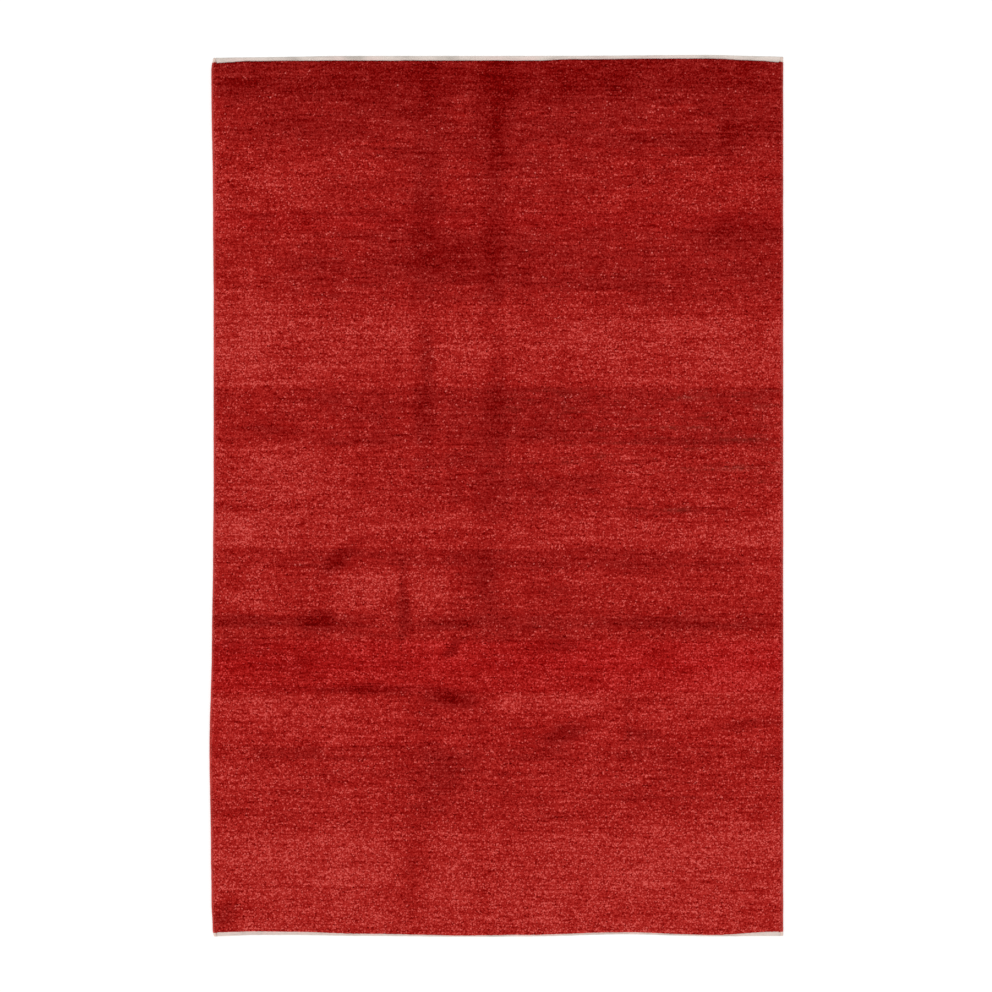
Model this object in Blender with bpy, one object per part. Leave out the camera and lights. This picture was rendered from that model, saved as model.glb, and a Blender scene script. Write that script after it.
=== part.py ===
"""A plain hand-knotted gabbeh rug, lying flat with its pile up.

Metres, +Z up. X runs across the rug and Y along it, from the bottom end to the top end.
The origin is on the underside, at the middle of the rug's bounding box.

Four pieces: the ground weave, whose ends show as two flat-woven bands, the knotted pile on it,
and a wool cord overcast along each side.
"""

import math
from collections import namedtuple

import bmesh
import bpy
from mathutils import Vector, noise

# Driving sizes
WIDTH = 1.97
LENGTH = 3.03
GROUND_THICKNESS = 0.003
PILE_HEIGHT = 0.0083
SELVEDGE_WIDTH = 0.008
SELVEDGE_HEIGHT = 0.0072
GAP = 0.0003

# How fine the solids are
COLUMNS = 38
ROWS = 48
CORNER_ROWS = (0.007, 0.014, 0.022, 0.032, 0.044, 0.058, 0.076, 0.098)
CORD_SIDES = 10

# The pile's cut surface: slow lumps, and a rim that rounds over
LUMP_HEIGHT = 0.0006
LUMP_SPACING = 0.17
RIM_WANDER = 0.0010
RIM_WANDER_SPACING = 0.06
RIM_DROP = 0.0006
TOP_INSET = 0.0042
SHARP_ANGLE = math.radians(50.0)

# The rim's profile from its foot up: the share of the pile's height, and how far the rim stands in
# at the sides and at the ends. The last rows of tufts lean out over the flat weave. At the sides the
# cords hold them upright.
RimRow = namedtuple("RimRow", "height_share inset_side inset_end")
PILE_RIM = (
    RimRow(height_share=0.00, inset_side=0.0000, inset_end=0.0000),
    RimRow(height_share=0.55, inset_side=0.0000, inset_end=-0.0016),
    RimRow(height_share=0.86, inset_side=0.0012, inset_end=0.0002),
)

# The left side, read from the bottom end to the top: the place along the rug, and how far the side
# stands in from the rug's widest line. The right side is straight.
SideRow = namedtuple("SideRow", "along stands_in")
LEFT_SIDE = (
    SideRow(along=-1.515, stands_in=0.0155),
    SideRow(along=-1.490, stands_in=0.0110),
    SideRow(along=-1.390, stands_in=0.0069),
    SideRow(along=-1.215, stands_in=0.0048),
    SideRow(along=-0.870, stands_in=0.0000),
    SideRow(along=-0.495, stands_in=0.0086),
    SideRow(along=-0.185, stands_in=0.0124),
    SideRow(along=0.000, stands_in=0.0141),
    SideRow(along=0.670, stands_in=0.0141),
    SideRow(along=1.015, stands_in=0.0120),
    SideRow(along=1.430, stands_in=0.0062),
    SideRow(along=1.465, stands_in=0.0064),
    SideRow(along=1.515, stands_in=0.0140),
)

# The two ends, read from left to right: the place across the rug, how far the end stands in from
# its furthest line, and how much flat weave shows between that end and the pile.
EndRow = namedtuple("EndRow", "across stands_in flat_weave")
TOP_END = (
    EndRow(across=-0.985, stands_in=0.0105, flat_weave=0.0170),
    EndRow(across=-0.930, stands_in=0.0092, flat_weave=0.0150),
    EndRow(across=-0.860, stands_in=0.0080, flat_weave=0.0118),
    EndRow(across=-0.500, stands_in=0.0034, flat_weave=0.0145),
    EndRow(across=0.160, stands_in=0.0034, flat_weave=0.0145),
    EndRow(across=0.240, stands_in=0.0030, flat_weave=0.0103),
    EndRow(across=0.740, stands_in=0.0000, flat_weave=0.0107),
    EndRow(across=0.900, stands_in=0.0040, flat_weave=0.0140),
    EndRow(across=0.985, stands_in=0.0062, flat_weave=0.0200),
)
BOTTOM_END = (
    EndRow(across=-0.985, stands_in=0.0008, flat_weave=0.0140),
    EndRow(across=-0.830, stands_in=0.0062, flat_weave=0.0127),
    EndRow(across=-0.700, stands_in=0.0062, flat_weave=0.0117),
    EndRow(across=-0.480, stands_in=0.0030, flat_weave=0.0080),
    EndRow(across=-0.080, stands_in=0.0000, flat_weave=0.0050),
    EndRow(across=0.090, stands_in=0.0010, flat_weave=0.0060),
    EndRow(across=0.440, stands_in=0.0086, flat_weave=0.0075),
    EndRow(across=0.740, stands_in=0.0017, flat_weave=0.0050),
    EndRow(across=0.985, stands_in=0.0030, flat_weave=0.0160),
)

# Soft troughs where the rug has lain folded along its length
Crease = namedtuple("Crease", "across start end half_width depth")
CREASES = (
    Crease(across=-0.220, start=-0.10, end=1.50, half_width=0.045, depth=0.0012),
    Crease(across=0.050, start=0.30, end=1.50, half_width=0.055, depth=0.0010),
    Crease(across=0.505, start=-1.42, end=-0.45, half_width=0.050, depth=0.0008),
)
CREASE_FADE = 0.18

# Linear colours
PILE_RED = (0.335, 0.018, 0.014)
SELVEDGE_RED = (0.420, 0.045, 0.028)
UNDYED_WOOL = (0.640, 0.560, 0.480)
WOOL_ROUGHNESS = 0.92


def clear_scene():
    for thing in list(bpy.data.objects):
        bpy.data.objects.remove(thing)


def eased(share):
    """0 to 1 with a level start and end."""
    share = min(max(share, 0.0), 1.0)
    return share * share * (3.0 - 2.0 * share)


def read_row(rows, key, column, place):
    """The column's value at a place, eased from row to row."""
    if place <= getattr(rows[0], key):
        return getattr(rows[0], column)
    for low, high in zip(rows, rows[1:]):
        start, end = getattr(low, key), getattr(high, key)
        if place <= end:
            share = eased((place - start) / (end - start))
            return getattr(low, column) * (1.0 - share) + getattr(high, column) * share
    return getattr(rows[-1], column)


def left_side(y):
    return -WIDTH / 2 + read_row(LEFT_SIDE, "along", "stands_in", y)


def right_side(y):
    return WIDTH / 2


def top_end(x):
    return LENGTH / 2 - read_row(TOP_END, "across", "stands_in", x)


def bottom_end(x):
    return -LENGTH / 2 + read_row(BOTTOM_END, "across", "stands_in", x)


def rim_wander(x, end):
    """How far the last rows of knots stray from their line at this place across."""
    return RIM_WANDER * noise.noise(Vector((x / RIM_WANDER_SPACING, 1.5 * end, 0.0)))


def pile_top_end(x):
    return top_end(x) - read_row(TOP_END, "across", "flat_weave", x) + rim_wander(x, 1)


def pile_bottom_end(x):
    flat_weave = read_row(BOTTOM_END, "across", "flat_weave", x)
    return bottom_end(x) + flat_weave + rim_wander(x, -1)


def crease_depth(x, y):
    depth = 0.0
    for crease in CREASES:
        across = math.exp(-(((x - crease.across) / crease.half_width) ** 2))
        inside = eased((y - crease.start) / CREASE_FADE) * eased((crease.end - y) / CREASE_FADE)
        depth += crease.depth * across * inside
    return depth


def pile_surface(x, y):
    """The height of the cut pile, over the floor."""
    spot = Vector((x, y, 0.0)) / LUMP_SPACING
    lumps = LUMP_HEIGHT * (noise.noise(spot) + 0.5 * noise.noise(spot * 2.0))
    return GROUND_THICKNESS + GAP + PILE_HEIGHT + lumps - crease_depth(x, y)


def place_in(u, v, inset_side, inset_end, bottom, top):
    """The point at shares u across and v along an outline that lies inside the two side cords."""
    beside = SELVEDGE_WIDTH + GAP + inset_side
    middle = (u - 0.5) * WIDTH
    y = (bottom(middle) + inset_end) * (1.0 - v) + (top(middle) - inset_end) * v
    x = (left_side(y) + beside) * (1.0 - u) + (right_side(y) - beside) * u
    y = (bottom(x) + inset_end) * (1.0 - v) + (top(x) - inset_end) * v
    return x, y


def shares_across():
    return [i / COLUMNS for i in range(COLUMNS + 1)]


def shares_along():
    """Even rows, and closer ones by the ends, where the sides turn in."""
    even = [j / ROWS for j in range(ROWS + 1)]
    near = [place / LENGTH for place in CORNER_ROWS]
    return sorted(even + near + [1.0 - share for share in near])


def outline_shares():
    """The places round a piece's edge in order, anticlockwise, as shares across and along."""
    across, along = shares_across(), shares_along()
    loop = [(u, 0.0) for u in across[:-1]]
    loop += [(1.0, v) for v in along[:-1]]
    loop += [(u, 1.0) for u in across[:0:-1]]
    loop += [(0.0, v) for v in along[:0:-1]]
    return loop


def wool(name, colour):
    material = bpy.data.materials.new(name)
    material.use_nodes = True
    shader = material.node_tree.nodes["Principled BSDF"]
    shader.inputs["Base Color"].default_value = (*colour, 1.0)
    shader.inputs["Roughness"].default_value = WOOL_ROUGHNESS
    shader.inputs["Metallic"].default_value = 0.0
    material.diffuse_color = (*colour, 1.0)
    return material


def add_object(name, mesh_builder, material):
    mesh = bpy.data.meshes.new(name)
    bmesh.ops.recalc_face_normals(mesh_builder, faces=mesh_builder.faces[:])
    mesh_builder.to_mesh(mesh)
    mesh_builder.free()
    mesh.materials.append(material)
    made = bpy.data.objects.new(name, mesh)
    bpy.context.scene.collection.objects.link(made)
    return made


def join_rings(builder, lower, upper):
    """A band of faces between two rings of as many points."""
    count = len(lower)
    for i in range(count):
        after = (i + 1) % count
        builder.faces.new((lower[i], lower[after], upper[after], upper[i]))


def make_foundation():
    """The ground weave: one flat sheet from end to end, between the two side cords."""
    builder = bmesh.new()
    rings = []
    for z in (0.0, GROUND_THICKNESS):
        ring = []
        for u, v in outline_shares():
            x, y = place_in(u, v, 0.0, 0.0, bottom_end, top_end)
            ring.append(builder.verts.new((x, y, z)))
        rings.append(ring)
    join_rings(builder, rings[0], rings[1])
    builder.faces.new(reversed(rings[0]))
    builder.faces.new(rings[1])
    return add_object("foundation", builder, wool("undyed ground weave", UNDYED_WOOL))


def make_pile():
    """The knotted wool: a slab with a softly uneven top, whose rim rounds over on all four sides."""
    builder = bmesh.new()
    base = GROUND_THICKNESS + GAP
    outline = outline_shares()

    rings = []
    for row in PILE_RIM:
        ring = []
        for u, v in outline:
            x, y = place_in(u, v, row.inset_side, row.inset_end, pile_bottom_end, pile_top_end)
            z = base + (pile_surface(x, y) - base) * row.height_share
            ring.append(builder.verts.new((x, y, z)))
        rings.append(ring)
    for lower, upper in zip(rings, rings[1:]):
        join_rings(builder, lower, upper)
    builder.faces.new(reversed(rings[0]))

    top = {}
    across, along = shares_across(), shares_along()
    for u in across:
        for v in along:
            x, y = place_in(u, v, TOP_INSET, TOP_INSET, pile_bottom_end, pile_top_end)
            z = pile_surface(x, y)
            if u in (0.0, 1.0) or v in (0.0, 1.0):
                z -= RIM_DROP
            top[u, v] = builder.verts.new((x, y, z))
    join_rings(builder, rings[-1], [top[place] for place in outline])
    for left, right in zip(across, across[1:]):
        for low, high in zip(along, along[1:]):
            corners = (left, low), (right, low), (right, high), (left, high)
            builder.faces.new([top[place] for place in corners])
    made = add_object("pile", builder, wool("knotted pile wool", PILE_RED))
    made.data.shade_smooth()
    made.data.set_sharp_from_angle(angle=SHARP_ANGLE)
    return made


def make_selvedge(name, side, outward):
    """A wool cord along one side, flat underneath, that stands a little proud of the ground weave."""
    builder = bmesh.new()
    half = SELVEDGE_WIDTH / 2
    step = 2.0 * math.pi / CORD_SIDES
    flat = math.cos(step / 2)
    middle = side(0.0) - outward * half
    low, high = bottom_end(middle), top_end(middle)
    rings = []
    for share in shares_along():
        y = low + (high - low) * share
        centre = side(y) - outward * half
        ring = []
        for k in range(CORD_SIDES):
            turn = -math.pi / 2 + step * (k + 0.5)
            x = centre + half * math.cos(turn)
            z = SELVEDGE_HEIGHT / 2 * (1.0 + math.sin(turn) / flat)
            ring.append(builder.verts.new((x, y, z)))
        rings.append(ring)
    for near, far in zip(rings, rings[1:]):
        join_rings(builder, near, far)
    builder.faces.new(reversed(rings[0]))
    builder.faces.new(rings[-1])
    made = add_object(name, builder, wool(name + " wool", SELVEDGE_RED))
    made.data.shade_smooth()
    made.data.set_sharp_from_angle(angle=SHARP_ANGLE)
    return made


def main():
    clear_scene()
    make_foundation()
    make_pile()
    make_selvedge("selvedge_left", left_side, -1)
    make_selvedge("selvedge_right", right_side, 1)


main()
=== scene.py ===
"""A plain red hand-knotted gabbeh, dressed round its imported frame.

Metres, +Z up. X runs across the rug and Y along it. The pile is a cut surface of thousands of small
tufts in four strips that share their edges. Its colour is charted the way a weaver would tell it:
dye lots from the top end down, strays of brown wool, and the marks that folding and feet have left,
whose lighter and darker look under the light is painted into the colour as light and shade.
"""

import math
from collections import namedtuple

import bpy
import numpy as np
from bpy.props import FloatProperty, FloatVectorProperty, IntProperty, PointerProperty
from bpy.types import Operator, Panel, PropertyGroup
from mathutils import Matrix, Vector
from mathutils.bvhtree import BVHTree


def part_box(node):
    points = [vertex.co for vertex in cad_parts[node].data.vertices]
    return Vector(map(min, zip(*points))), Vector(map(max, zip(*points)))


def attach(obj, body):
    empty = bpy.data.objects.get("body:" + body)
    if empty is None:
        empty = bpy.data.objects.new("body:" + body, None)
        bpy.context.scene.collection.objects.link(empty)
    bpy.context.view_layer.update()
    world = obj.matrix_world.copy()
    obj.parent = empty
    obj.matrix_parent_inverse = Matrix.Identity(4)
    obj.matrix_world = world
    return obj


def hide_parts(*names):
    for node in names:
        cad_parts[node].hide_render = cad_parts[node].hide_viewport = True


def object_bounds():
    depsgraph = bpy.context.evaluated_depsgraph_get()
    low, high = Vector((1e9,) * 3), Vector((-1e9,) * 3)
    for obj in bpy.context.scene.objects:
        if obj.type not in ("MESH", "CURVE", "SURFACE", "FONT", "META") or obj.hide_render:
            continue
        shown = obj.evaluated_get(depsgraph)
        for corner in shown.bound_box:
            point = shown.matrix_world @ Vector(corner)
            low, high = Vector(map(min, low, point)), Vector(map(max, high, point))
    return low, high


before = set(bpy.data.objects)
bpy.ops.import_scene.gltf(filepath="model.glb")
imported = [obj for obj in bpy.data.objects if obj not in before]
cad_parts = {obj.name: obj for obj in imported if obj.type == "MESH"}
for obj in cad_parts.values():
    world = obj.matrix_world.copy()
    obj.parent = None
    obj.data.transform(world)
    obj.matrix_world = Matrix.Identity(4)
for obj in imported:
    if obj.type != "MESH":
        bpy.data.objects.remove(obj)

bl_info = {
    "name": "Gabbeh Rug",
    "version": (1, 0, 0),
    "blender": (4, 5, 0),
    "location": "3D View > Sidebar > Rug",
    "description": "Dresses the frame of a plain hand-knotted rug in pile, flat weave and side cords",
    "category": "Add Mesh",
}

CAD_LOW, CAD_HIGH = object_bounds()
FOUR_CORNERS = ((-1, -1), (1, -1), (1, 1), (-1, 1))

# The photograph is square on from above: its side in pixels, the size of a pixel on the rug and at
# what height, and how far its middle is from the rug's
PHOTO_SIDE = 992
PHOTO_PIXEL = 0.003436
PHOTO_LEVEL = 0.002
PHOTO_SHIFT = -0.0010
CAMERA_REACH = 200.0

# The pale floor, and the broad key light: how wide it is, its turn and its tint
FLOOR_REACH = 40.0
FLOOR_BELOW = 0.0002
KEY_SPREAD = math.radians(18.0)
KEY_TURN = math.radians(-24.0)
KEY_TINT = (1.0, 0.995, 0.985)

# Sizes and heights that the frame gives
PILE_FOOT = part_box("pile")[0].z
CORD_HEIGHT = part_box("selvedge_right")[1].z
CORD_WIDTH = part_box("selvedge_right")[1].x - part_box("selvedge_right")[0].x

# The rim of the pile from its foot up: share of the height, and how far it stands in at the sides
# and at the ends, where it bulges over its own foot
RimRow = namedtuple("RimRow", "height_share inset_side inset_end")
PILE_RIM = (
    RimRow(height_share=0.00, inset_side=0.0004, inset_end=0.0026),
    RimRow(height_share=0.30, inset_side=0.0000, inset_end=0.0016),
    RimRow(height_share=0.56, inset_side=0.0000, inset_end=0.0012),
    RimRow(height_share=0.78, inset_side=0.0003, inset_end=0.0018),
    RimRow(height_share=0.92, inset_side=0.0012, inset_end=0.0034),
    RimRow(height_share=0.99, inset_side=0.0030, inset_end=0.0058),
)
# Where the level field of tufts begins, and how far the top edge is drawn in
FIELD_INSET = 0.0085
TOP_EDGE_IN = 0.0012

# How a tuft of the pile strays from its place, in knot spacings, how its height varies, and how much
# lighter taller tufts and clumps are painted, as painted light on the high places and painted shade on the
# low
RIM_STRAY = 0.12
FIELD_STRAY = 0.34
TUFT_LIMIT = 2.2
ROW_LIFT = 0.35
NAP_RELIEF = 0.0030
TUFT_PAINTED_LIGHT = 0.030
CLUMP_PAINTED_LIGHT = 0.015
BROWN_MOST = 0.8

# Painted shade down the rim at the top and bottom ends, where the pile's end walls fall into shade, and
# painted light at the sides, which lifts the shaded groove beside the cords
TOP_SHADE = 0.40
BOTTOM_SHADE = 0.25
SIDE_LIGHT = 0.18

# A single rim tuft from its foot to its cut tip: shares of its height, lean and thickness, and how much
# lighter it is there, as painted shade towards its foot and painted light on its tip
TuftRing = namedtuple("TuftRing", "height lean thickness tone")
TUFT_RINGS = (
    TuftRing(height=0.00, lean=0.00, thickness=0.85, tone=-0.22),
    TuftRing(height=0.60, lean=0.40, thickness=1.05, tone=-0.02),
    TuftRing(height=1.00, lean=1.00, thickness=0.78, tone=0.07),
)
TUFT_SIDES = 4
# Shares of a tuft's own square of the map: each ring of its wall, where its tip begins, and the margin
TUFT_RING_MAP = 0.43
TUFT_TIP_MAP = 0.88
TUFT_MARGIN = 0.06

# Rows of single tufts round the rim: how far in they stand, and shares of the lean and of the height
TuftRow = namedtuple("TuftRow", "inset lean height")
SIDE_ROWS = (
    TuftRow(inset=0.0006, lean=1.00, height=0.92),
    TuftRow(inset=0.0028, lean=0.66, height=1.00),
    TuftRow(inset=0.0052, lean=0.30, height=1.02),
)
END_ROWS = (
    TuftRow(inset=0.0036, lean=1.00, height=0.92),
    TuftRow(inset=0.0064, lean=0.50, height=1.01),
)

# How far rim tufts vary: along the rim in tuft spacings, inward, in height, width, lean and tone
RIM_ALONG = 0.4
RIM_INWARD = 0.0012
RIM_HEIGHTS = (0.90, 1.04)
RIM_WIDTHS = (0.75, 1.20)
RIM_LEANS = (0.2, 1.5)
RIM_TONE = 0.09

# Each rim: the axis it runs along, which way it faces, how much lighter its tufts are painted, as painted
# light at the sides and painted shade at the top end, and its rows
Rim = namedtuple("Rim", "run sign lighter rows")
RIMS = {
    "left": Rim(run=1, sign=-1.0, lighter=0.24, rows=SIDE_ROWS),
    "right": Rim(run=1, sign=1.0, lighter=0.24, rows=SIDE_ROWS),
    "bottom": Rim(run=0, sign=-1.0, lighter=0.0, rows=END_ROWS),
    "top": Rim(run=0, sign=1.0, lighter=-0.10, rows=END_ROWS),
}

# The edge of a flat-woven end from its furthest thread inward: it is turned under and rounds over
HemRow = namedtuple("HemRow", "inset height")
HEM_ROWS = (
    HemRow(inset=0.0000, height=0.0014),
    HemRow(inset=0.0003, height=0.0022),
    HemRow(inset=0.0009, height=0.0028),
    HemRow(inset=0.0018, height=0.0031),
)
# The hem: its width, the single cloth's height past it, and the line of stitches that holds it
HEM_WIDTH = 0.0055
HEM_STEP = 0.0010
CLOTH_HEIGHT = 0.0027
STITCH_WIDTH = 0.0009
STITCH_DEPTH = 0.0004

# The weft ribs of a flat-woven end: how far in they go, over what length they fade, and their form
RIBS_REACH = 0.024
RIB_FADE = 0.003
RIB_LINES = 4
RIB_ROUNDNESS = 0.7
RIB_MIDDLE = 0.6
MIDDLE_LINES = 24
WARP_PITCH = 0.0044

# The dye that has bled into a flat-woven end: how strong beside the pile, and how far it reaches
BLEED = 0.75
BLEED_REACH = 0.0045

# The knotted back: knots along the rug and across it
BACK_ROW_PITCH = 0.0036
BACK_COLUMN_PITCH = 0.0040

# A side cord: points round it, rings to a turn of yarn, how far it laps over the pile and stands out
# past the frame's, how much thinner it is past the pile and over what length, how it closes and sinks
# at its ends, how full its section is, and how round the crown of each turn is
CORD_SIDES = 10
CORD_RINGS = 4
CORD_OVERLAP = 0.0020
CORD_OUTWARD = 0.0008
CORD_THINNING = 0.30
CORD_THIN_LENGTH = 0.006
CORD_CLOSING = 0.30
CORD_TIP = 0.12
CORD_SINKING = 0.3
CORD_FULLNESS = 1.05
CROWN_ROUNDNESS = 0.6

# The colour of a side cord: its middle tone, how much lighter the crown of a turn is painted, as painted
# light on the crowns and painted shade in the grooves between turns, and how far it follows the pile
# beside it
CORD_TONE = 0.5
CROWN_PAINTED_LIGHT = 0.35
CROWN_MIDDLE = 0.6
LOT_TONE = 0.6
LOT_MIDDLE = 0.52

# Shares of a piece's map for baking: the back of the ground weave, its two ends and its edge
BACK_MAP = 0.820
ENDS_MAP = (0.830, 0.975)
EDGE_MAP = (0.985, 0.998)
MAP_MARGIN = 0.002
# The same for a side cord: its lengths side by side, their share, and the two caps past the last one
CORD_MAP_COLUMNS = 8
CORD_MAP = 0.985
CAPS_ACROSS = (0.91, 0.97)
CAPS_ALONG = 0.95
CAP_RADIUS = 0.02

# Wool dyed in one batch, from the top end down: where it starts, how light it is from 0 to 1, over
# how much of the length it takes over from the batch before, and how much more crimson it is
DyeLot = namedtuple("DyeLot", "starts tone soft crimson", defaults=(0.0,))
DYE_LOTS = (
    DyeLot(starts=0.000, tone=0.30, soft=0.010),
    DyeLot(starts=0.135, tone=0.39, soft=0.070),
    DyeLot(starts=0.290, tone=0.45, soft=0.050),
    DyeLot(starts=0.360, tone=0.50, soft=0.040),
    DyeLot(starts=0.540, tone=0.46, soft=0.020, crimson=0.4),
    DyeLot(starts=0.600, tone=0.44, soft=0.030),
    DyeLot(starts=0.790, tone=0.49, soft=0.050),
    DyeLot(starts=0.850, tone=0.57, soft=0.025),
    DyeLot(starts=0.905, tone=0.65, soft=0.020),
    DyeLot(starts=0.960, tone=0.60, soft=0.020),
    DyeLot(starts=1.140, tone=0.46, soft=0.014),
    DyeLot(starts=1.205, tone=0.48, soft=0.030),
    DyeLot(starts=1.340, tone=0.55, soft=0.010),
    DyeLot(starts=1.450, tone=0.50, soft=0.012),
    DyeLot(starts=1.480, tone=0.53, soft=0.010),
    DyeLot(starts=1.570, tone=0.60, soft=0.008),
    DyeLot(starts=1.694, tone=0.47, soft=0.008),
    DyeLot(starts=1.758, tone=0.55, soft=0.014),
    DyeLot(starts=1.875, tone=0.53, soft=0.020),
    DyeLot(starts=1.920, tone=0.45, soft=0.006),
    DyeLot(starts=1.970, tone=0.52, soft=0.014),
    DyeLot(starts=2.010, tone=0.55, soft=0.020, crimson=0.8),
    DyeLot(starts=2.075, tone=0.54, soft=0.012, crimson=1.0),
    DyeLot(starts=2.115, tone=0.57, soft=0.012, crimson=0.7),
    DyeLot(starts=2.190, tone=0.56, soft=0.010, crimson=0.2),
    DyeLot(starts=2.375, tone=0.50, soft=0.030),
    DyeLot(starts=2.425, tone=0.57, soft=0.020),
    DyeLot(starts=2.525, tone=0.56, soft=0.010),
    DyeLot(starts=2.625, tone=0.60, soft=0.012),
    DyeLot(starts=2.665, tone=0.65, soft=0.030),
    DyeLot(starts=2.840, tone=0.65, soft=0.060),
)

# Places where the nap lies another way, where the rug has lain folded, or where a foot or a knee has
# pressed it, whose lighter or darker look under the light is painted into the wool's colour as painted
# light and shade: the middle across the rug and down from its top end, half the length and half the
# width, the turn from straight across in degrees, and how much lighter it looks
NapMark = namedtuple("NapMark", "across down half_length half_width turn tone")
FOLD_MARKS = (
    NapMark(-0.23, 0.09, 0.11, 0.038, 88, -0.13),
    NapMark(-0.24, 0.47, 0.20, 0.052, 90, -0.15),
    NapMark(-0.24, 1.03, 0.15, 0.034, 90, -0.20),
    NapMark(-0.25, 1.26, 0.12, 0.036, 90, -0.12),
    NapMark(-0.25, 1.45, 0.10, 0.040, 90, -0.05),
    NapMark(0.00, 0.10, 0.14, 0.065, 88, -0.16),
    NapMark(0.06, 0.17, 0.06, 0.030, 90, -0.09),
    NapMark(0.00, 0.32, 0.14, 0.034, 87, -0.15),
    NapMark(0.00, 0.65, 0.18, 0.038, 90, -0.15),
    NapMark(-0.02, 0.86, 0.07, 0.036, 90, -0.09),
    NapMark(0.01, 1.03, 0.12, 0.030, 90, -0.08),
    NapMark(0.00, 1.24, 0.12, 0.044, 90, -0.13),
    NapMark(-0.19, 2.47, 0.13, 0.085, 90, -0.14),
    NapMark(-0.26, 2.68, 0.14, 0.055, 90, -0.10),
    NapMark(-0.29, 2.87, 0.13, 0.030, 90, -0.09),
    NapMark(0.45, 2.24, 0.16, 0.016, 90, -0.09),
    NapMark(0.52, 0.72, 0.18, 0.020, 90, -0.07),
    NapMark(0.30, 2.70, 0.18, 0.010, -72, 0.07),
)
BROAD_MARKS = (
    NapMark(-0.86, 1.50, 0.16, 1.400, 0, 0.030),
    NapMark(0.02, 1.50, 0.20, 1.300, 0, -0.040),
    NapMark(0.86, 1.95, 0.14, 0.900, 0, 0.025),
    NapMark(-0.98, 0.40, 0.44, 0.042, 90, 0.17),
    NapMark(-0.98, 1.30, 0.50, 0.026, 90, 0.07),
    NapMark(0.97, 1.55, 0.50, 0.026, 90, 0.10),
    NapMark(-0.12, 0.20, 0.08, 0.036, 90, 0.07),
    NapMark(-0.13, 0.07, 0.05, 0.024, 90, -0.07),
    NapMark(-0.20, 0.72, 0.16, 0.080, 0, -0.15),
    NapMark(0.43, 0.10, 0.08, 0.055, 60, -0.07),
    NapMark(-0.88, 0.10, 0.10, 0.035, 0, -0.12),
    NapMark(0.60, 0.29, 0.16, 0.024, 0, -0.09),
    NapMark(0.80, 0.27, 0.08, 0.045, 90, -0.15),
    NapMark(0.84, 0.61, 0.15, 0.050, 0, -0.13),
    NapMark(0.77, 0.60, 0.05, 0.030, 30, -0.08),
    NapMark(0.30, 0.76, 0.20, 0.060, 0, -0.05),
    NapMark(-0.80, 0.50, 0.17, 0.300, 0, 0.06),
    NapMark(-0.86, 0.90, 0.14, 0.260, 0, 0.08),
    NapMark(-0.60, 0.73, 0.10, 0.040, 0, -0.06),
    NapMark(-0.62, 0.62, 0.10, 0.040, 0, 0.05),
    NapMark(-0.92, 0.64, 0.06, 0.050, 0, 0.08),
    NapMark(-0.44, 0.26, 0.11, 0.040, 0, 0.05),
    NapMark(0.29, 0.15, 0.10, 0.050, 0, -0.05),
    NapMark(0.88, 0.77, 0.10, 0.070, 0, -0.06),
    NapMark(-0.14, 1.23, 0.06, 0.050, 0, -0.07),
    NapMark(-0.88, 2.01, 0.10, 0.045, 0, -0.09),
    NapMark(0.66, 1.03, 0.28, 0.100, 0, 0.03),
    NapMark(0.70, 0.86, 0.24, 0.035, 0, -0.09),
    NapMark(-0.05, 1.43, 0.15, 0.105, 0, -0.07),
    NapMark(-0.72, 1.44, 0.24, 0.090, 0, 0.07),
    NapMark(-0.66, 1.48, 0.09, 0.025, 0, 0.06),
    NapMark(-0.90, 1.63, 0.08, 0.060, 0, 0.12),
    NapMark(-0.04, 1.62, 0.06, 0.070, 90, -0.07),
    NapMark(0.60, 1.755, 0.40, 0.034, 0, -0.05),
    NapMark(-0.07, 1.79, 0.09, 0.070, 90, -0.12),
    NapMark(-0.46, 1.84, 0.12, 0.070, 0, 0.14),
    NapMark(-0.23, 1.87, 0.06, 0.060, 0, 0.14),
    NapMark(-0.80, 2.06, 0.28, 0.060, 0, -0.10),
    NapMark(-0.68, 2.175, 0.32, 0.022, 0, -0.10),
    NapMark(-0.03, 1.80, 0.13, 0.036, 90, -0.09),
    NapMark(-0.68, 2.27, 0.26, 0.060, 0, 0.08),
    NapMark(-0.25, 2.27, 0.08, 0.070, 0, -0.06),
    NapMark(0.78, 2.19, 0.20, 0.170, 0, 0.06),
    NapMark(-0.10, 2.46, 0.26, 0.060, 0, -0.05),
    NapMark(0.05, 2.23, 0.06, 0.040, 0, 0.18),
    NapMark(0.24, 2.22, 0.16, 0.032, 0, 0.13),
    NapMark(0.72, 2.75, 0.20, 0.090, 0, 0.04),
    NapMark(-0.04, 2.88, 0.08, 0.036, 90, -0.09),
    NapMark(0.11, 2.83, 0.08, 0.040, 90, -0.07),
    NapMark(-0.93, 2.95, 0.07, 0.050, 60, -0.24),
)
PRESSED_MARKS = (
    NapMark(-0.54, 1.73, 0.08, 0.026, 38, -0.22),
    NapMark(-0.32, 1.89, 0.15, 0.018, 90, -0.20),
    NapMark(-0.61, 1.94, 0.07, 0.036, 0, -0.24),
    NapMark(-0.15, 1.95, 0.09, 0.022, 5, -0.16),
    NapMark(-0.16, 2.05, 0.10, 0.060, 0, 0.10),
    NapMark(-0.15, 2.04, 0.05, 0.020, 38, -0.36),
    NapMark(-0.42, 1.99, 0.06, 0.024, 30, 0.08),
    NapMark(0.22, 2.03, 0.09, 0.022, 0, -0.17),
    NapMark(-0.42, 2.18, 0.12, 0.028, -6, -0.15),
    NapMark(-0.15, 2.21, 0.08, 0.030, -8, -0.32),
    NapMark(0.24, 2.33, 0.08, 0.034, 14, -0.30),
    NapMark(0.50, 2.33, 0.07, 0.022, -6, -0.19),
    NapMark(0.85, 2.30, 0.13, 0.024, 4, -0.24),
)

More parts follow.
